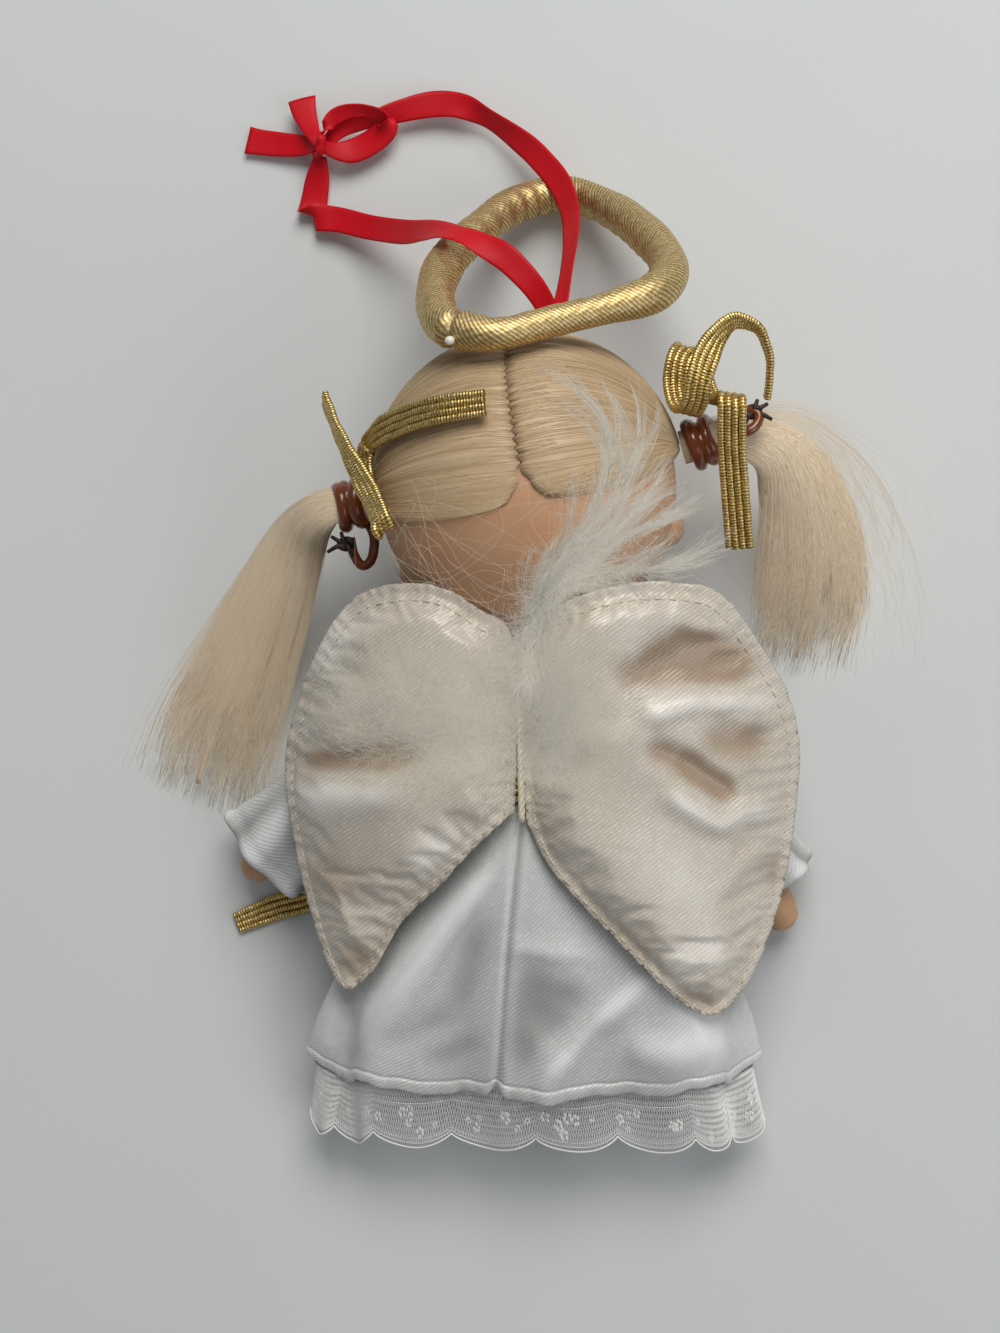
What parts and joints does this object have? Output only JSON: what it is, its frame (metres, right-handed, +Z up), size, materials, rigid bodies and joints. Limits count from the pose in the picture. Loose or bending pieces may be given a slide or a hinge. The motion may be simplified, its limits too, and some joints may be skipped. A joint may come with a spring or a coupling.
{
  "type": "hanging angel doll ornament",
  "caption": "Cloth-dressed vinyl angel doll lying face down, with pigtails, padded wings, halo and a ribbon hanger; head, arms, legs and wings move.",
  "frame": {"origin": "on the table, under the middle of the doll with its halo, without the ribbon", "axes": "+Y from the hem to the halo, +Z up from the table and out of the back, +X to the right in the picture"},
  "size_m": [0.0936, 0.1367, 0.0412],
  "materials": {
    "vinyl_skin": "satin",
    "blond_hair": "satin",
    "amber_rubber": "gloss",
    "gold_braid": "metallic",
    "gold_lame": "metallic",
    "cotton_cord": "matte",
    "red_ribbon": "satin",
    "white_satin": "satin",
    "white_lace": "matte",
    "ivory_satin": "satin",
    "cream_cord": "matte",
    "white_down": "matte"
  },
  "bodies": {
    "torso": {"torso": "vinyl_skin", "bodice": "white_satin", "skirt": "white_satin", "lace_trim": "white_lace", "waist_sash": "gold_braid", "sash_bow": "gold_braid", "wing_tie": "cream_cord", "feather_plume": "white_down"},
    "head": {"head": "vinyl_skin", "hair_left": "blond_hair", "hair_right": "blond_hair", "pigtail_left": "blond_hair", "pigtail_right": "blond_hair", "band_left": "amber_rubber", "band_right": "amber_rubber", "gold_bow_left": "gold_braid", "gold_bow_right": "gold_braid", "halo_cover": "gold_lame", "halo_core": "cotton_cord", "hanger_ribbon": "red_ribbon", "hanger_knot": "red_ribbon"},
    "arm_left": {"arm_left": "vinyl_skin", "sleeve_left": "white_satin"},
    "arm_right": {"arm_right": "vinyl_skin", "sleeve_right": "white_satin"},
    "leg_left": {"leg_left": "vinyl_skin"},
    "leg_right": {"leg_right": "vinyl_skin"},
    "wing_left": {"wing_left": "ivory_satin", "down_left": "white_down"},
    "wing_right": {"wing_right": "ivory_satin", "down_right": "white_down"}
  },
  "joints": [
    {"name": "head_turn", "type": "hinge", "parent": "torso", "child": "head", "pos_m": [0.00483, 0.00089, 0.01636], "axis": [0, 0.9877, 0.1564], "range_deg": [-15, 15], "deforming": ["pigtail_left", "pigtail_right"]},
    {"name": "arm_left_swing", "type": "hinge", "parent": "torso", "child": "arm_left", "pos_m": [-0.00777, -0.00652, 0.01518], "axis": [1, 0, 0], "range_deg": [0, 75]},
    {"name": "arm_right_swing", "type": "hinge", "parent": "torso", "child": "arm_right", "pos_m": [0.01743, -0.00652, 0.01518], "axis": [1, 0, 0], "range_deg": [0, 75]},
    {"name": "leg_left_swing", "type": "hinge", "parent": "torso", "child": "leg_left", "pos_m": [-0.00137, -0.02479, 0.01229], "axis": [1, 0, 0], "range_deg": [-6, 4]},
    {"name": "leg_right_swing", "type": "hinge", "parent": "torso", "child": "leg_right", "pos_m": [0.01103, -0.02479, 0.01229], "axis": [1, 0, 0], "range_deg": [-6, 4]},
    {"name": "wing_left_lift", "type": "hinge", "parent": "torso", "child": "wing_left", "pos_m": [0.00383, -0.01317, 0.02461], "axis": [0, 0.9877, 0.1564], "range_deg": [0, 30]},
    {"name": "wing_right_lift", "type": "hinge", "parent": "torso", "child": "wing_right", "pos_m": [0.00583, -0.01317, 0.02461], "axis": [0, -0.9877, -0.1564], "range_deg": [0, 30]}
  ]
}
